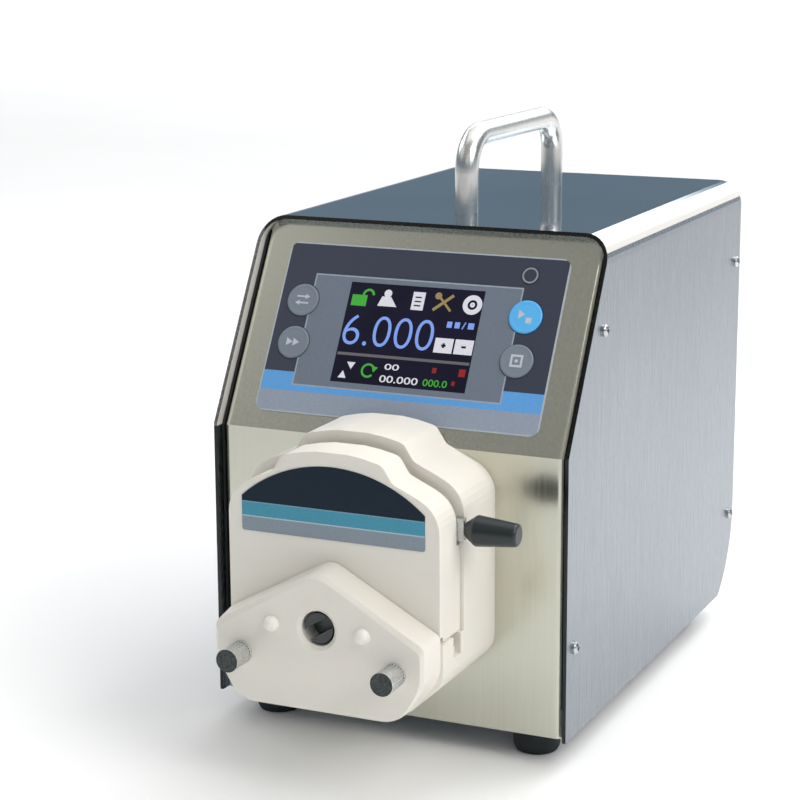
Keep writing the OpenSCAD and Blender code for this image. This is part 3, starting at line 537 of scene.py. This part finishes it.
def screen_content():
    lock, pale, tools = top_icons(ICON_ROW)
    soft_keys = [box2(x, KEY_ROW, x + 8.0, KEY_ROW + 6.3) for x in (11.2, 20.0)]
    arrows = [[(-28.2, 25.4), (-24.6, 25.4), (-26.4, 28.6)], [(-25.4, 32.4), (-21.6, 32.4), (-23.2, 29.4)]]
    loop = arc2(-15.4, 29.4, 2.2, 3.1, 30, 320) + [[(-14.2, 31.6), (-11.2, 31.0), (-13.0, 28.8)]]
    alarms = [box2(12.6, 30.8, 14.4, 33.0), box2(24.2, 30.2, 27.0, 33.4), box2(22.0, 26.2, 23.4, 28.0)]
    unit = [box2(14.8, 50.4, 17.0, 53.0), box2(18.2, 50.4, 20.4, 53.0), bar2(21.6, 50.2, 22.8, 53.2, 0.5),
            box2(24.0, 50.4, 26.6, 53.0)]
    rule = [box2(-30.6, 35.2, 27.9, 36.4)]
    groups = [(lit["green"], lock), (lit["white"], pale + soft_keys + arrows), (lit["gold"], tools),
              (lit["grey"], rule), (lit["green"], loop), (lit["red"], alarms), (lit["blue"], unit)]
    on = slope_matrix(0.4 * MM)
    prints("screen_pixels", groups, on, "case")

    lines = [box2(-1.4, ICON_ROW + y, 1.4, ICON_ROW + y + 0.6) for y in (-2.6, -0.8, 1.0)]
    signs = [box2(14.2, 42.2, 16.2, 43.1), box2(14.75, 41.6, 15.65, 43.7), box2(23.0, 42.2, 25.0, 43.1)]
    prints("screen_marks", [(lit["dark"], lines + signs)], slope_matrix(0.45 * MM), "case")
    digits("screen_value", "6.000", -30.2, 39.8, 13.2, 40.2, lit["blue"], on, -0.012)
    digits("screen_total", "00.000", -9.6, LOW_ROW, 3.0, 17.0, lit["white"], on, 0.01)
    digits("screen_total_2", "000.0", 9.6, LOW_ROW, 3.0, 10.6, lit["green"], on, 0.01)
    digits("screen_mode", "00", -8.4, 30.4, 2.6, 6.4, lit["white"], on, 0.01)


screen_content()

KEY_AT = {"key_direction": (-51.5, 57.4), "key_prime": (-51.5, 38.7),
          "key_start": (47.7, 57.4), "key_menu": (47.7, 38.7)}
ICONS = {
    "key_direction": [bar2(-2.8, 1.4, 1.4, 1.4, 0.7), [(1.2, 0.3), (3.2, 1.4), (1.2, 2.5)],
                      bar2(-1.4, -1.4, 2.8, -1.4, 0.7), [(-1.2, -2.5), (-3.2, -1.4), (-1.2, -0.3)]],
    "key_prime": [[(-3.0, -1.7), (-0.2, 0), (-3.0, 1.7)], [(0.0, -1.7), (2.8, 0), (0.0, 1.7)]],
    "key_start": [[(-3.0, -1.2), (-0.2, 0.9), (-3.0, 2.8)], box2(0.4, -2.8, 2.9, -0.4)],
    "key_menu": [box2(-2.6, -2.6, 2.6, -1.7), box2(-2.6, 1.7, 2.6, 2.6), box2(-2.6, -1.7, -1.7, 1.7),
                 box2(1.7, -1.7, 2.6, 1.7), disc2(0, 0, 0.7, 16)],
}


KEY_SIDES = 72
KEY_PROFILE = [(0.0, 1.12), (2.6, 1.11), (4.8, 1.07), (5.5, 1.02), (5.85, 1.1), (6.25, 1.14),
               (6.6, 1.06), (6.9, 0.92), (6.95, 0.8), (6.95, -0.4)]     # radius and height in mm


def key_cap(node):
    """Low domed key top with a raised rim and a pale icon."""
    cx, cy = KEY_AT[node]
    mesh = bpy.data.meshes.new(node + "_cap")
    bm = bmesh.new()
    n = KEY_SIDES
    rings = []
    for r, z in KEY_PROFILE[1:]:
        turns = [2 * math.pi * i / n for i in range(n)]
        rings.append([bm.verts.new((r * MM * math.cos(t), r * MM * math.sin(t), z * MM)) for t in turns])
    tip = bm.verts.new((0, 0, KEY_PROFILE[0][1] * MM))
    for i in range(n):
        j = (i + 1) % n
        bm.faces.new((tip, rings[0][i], rings[0][j]))
        for a, b in zip(rings, rings[1:]):
            bm.faces.new((a[i], b[i], b[j], a[j]))
    bm.faces.new(rings[-1])
    bmesh.ops.recalc_face_normals(bm, faces=bm.faces)
    for f in bm.faces:
        f.smooth = True
    bm.transform(slope_matrix() @ Matrix.Translation((cx * MM, cy * MM, 0)))
    bm.to_mesh(mesh)
    bm.free()
    mesh.materials.append(mats["key_blue" if node == "key_start" else "key_grey"].mat)
    add_piece(node + "_cap", mesh, node + "_body")
    place = slope_matrix(1.1 * MM) @ Matrix.Translation((cx * MM, cy * MM, 0))
    prints(node + "_icon", [(mats["mark_pale"], ICONS[node])], place, node + "_body")


for node in KEY_AT:
    key_cap(node)
prints("status_ring", [(mats["mark_grey"], arc2(0, 0, 2.7, 3.4, 0, 360, 40))],
       slope_matrix(0.7 * MM) @ Matrix.Translation((46.2 * MM, 75 * MM, 0)), "case")

# ---------------------------------------------------------------- stage, lights, camera
bpy.context.scene.view_settings.view_transform = "Standard"


FLOOR_SIZE = 14.0
SKY_STRENGTH = 0.8
SKY = [(0.0, (0.7, 0.72, 0.74, 1)), (0.08, (0.19, 0.26, 0.33, 1)), (0.30, (0.20, 0.26, 0.31, 1)),
       (0.62, (0.46, 0.46, 0.45, 1)), (1.0, (0.5, 0.5, 0.5, 1))]      # from horizon to zenith


def stage_floor():
    mesh = bpy.data.meshes.new("studio_floor")
    bm = bmesh.new()
    bmesh.ops.create_grid(bm, x_segments=1, y_segments=1, size=FLOOR_SIZE)
    bm.to_mesh(mesh)
    bm.free()
    floor = bpy.data.objects.new("studio_floor", mesh)
    bpy.context.scene.collection.objects.link(floor)
    m = Mat("studio_white", (246, 246, 246), 0.0, 0.8)
    m.vary(m.noise(m.position(), 3.0, 2.0), 0.01)
    mesh.materials.append(m.mat)


stage_floor()


def studio_world():
    world = bpy.data.worlds.new("studio")
    bpy.context.scene.world = world
    world.use_nodes = True
    tree = world.node_tree
    tree.nodes.clear()
    out = tree.nodes.new("ShaderNodeOutputWorld")
    back = tree.nodes.new("ShaderNodeBackground")
    coord = tree.nodes.new("ShaderNodeTexCoord")
    sep = tree.nodes.new("ShaderNodeSeparateXYZ")
    ramp = tree.nodes.new("ShaderNodeValToRGB")
    tree.links.new(coord.outputs["Generated"], sep.inputs[0])
    tree.links.new(sep.outputs[2], ramp.inputs[0])
    ramp.color_ramp.elements[0].position = SKY[0][0]
    ramp.color_ramp.elements[0].color = SKY[0][1]
    ramp.color_ramp.elements[1].position = SKY[-1][0]
    ramp.color_ramp.elements[1].color = SKY[-1][1]
    for position, colour in SKY[1:-1]:
        ramp.color_ramp.elements.new(position).color = colour
    tree.links.new(ramp.outputs[0], back.inputs["Color"])
    back.inputs["Strength"].default_value = SKY_STRENGTH
    tree.links.new(back.outputs[0], out.inputs["Surface"])


studio_world()


def area_light(name, place, target, size, power, colour=(1, 1, 1)):
    data = bpy.data.lights.new(name, "AREA")
    data.shape = "RECTANGLE"
    data.size, data.size_y = size
    data.energy = power
    data.color = colour
    lamp = bpy.data.objects.new(name, data)
    lamp.location = place
    lamp.rotation_euler = (Vector(target) - Vector(place)).to_track_quat("-Z", "Y").to_euler()
    bpy.context.scene.collection.objects.link(lamp)


middle = (0, 0.03, 0.1)
area_light("key_light", (1.55, -0.45, 1.35), middle, (1.2, 1.2), 21, (1.0, 0.985, 0.96))
area_light("front_fill", (0.9, -2.0, 1.3), middle, (1.4, 1.0), 1.7, (1.0, 0.98, 0.94))
area_light("left_card", (-1.45, -1.0, 1.45), (0, -0.07, 0.17), (0.9, 0.9), 1.4)
area_light("top_light", (-0.1, 0.3, 1.9), middle, (1.6, 1.6), 6.5)
area_light("left_fill", (-1.7, 0.3, 1.3), (-0.45, -0.1, 0), (1.0, 1.0), 9)
area_light("right_fill", (0.35, 0.3, 0.8), (0.25, 0.3, 0), (0.6, 0.6), 3.2)
area_light("rear_card", (0.45, 4.0, 1.5), (0.1, 0, 0.2), (1.7, 0.45), 1.2)
area_light("side_card", (1.75, 4.0, 0.78), (0.1, 0, 0.2), (1.5, 1.15), 1.9)
area_light("background_light", (-0.5, 6.5, 3.2), (-0.5, 6.5, 0), (9, 8), 410)

CAMERA_AT = (0.36192, -0.85281, 0.33803)
FOCAL_MM, SENSOR_MM = 99.17, 36
YAW, PITCH, ROLL = math.radians(24.685), math.radians(12.825), math.radians(-0.32)
right = Vector((math.cos(YAW), math.sin(YAW), 0))
back = Vector((math.sin(YAW) * math.cos(PITCH), -math.cos(YAW) * math.cos(PITCH), math.sin(PITCH)))
up = back.cross(right)
right, up = (math.cos(ROLL) * right + math.sin(ROLL) * up,
             -math.sin(ROLL) * right + math.cos(ROLL) * up)
cam_data = bpy.data.cameras.new("camera")
cam_data.lens = FOCAL_MM
cam_data.sensor_width = SENSOR_MM
camera = bpy.data.objects.new("camera", cam_data)
turn = Matrix((right, up, back)).transposed().to_4x4()
camera.matrix_world = Matrix.Translation(CAMERA_AT) @ turn
bpy.context.scene.collection.objects.link(camera)
bpy.context.scene.camera = camera
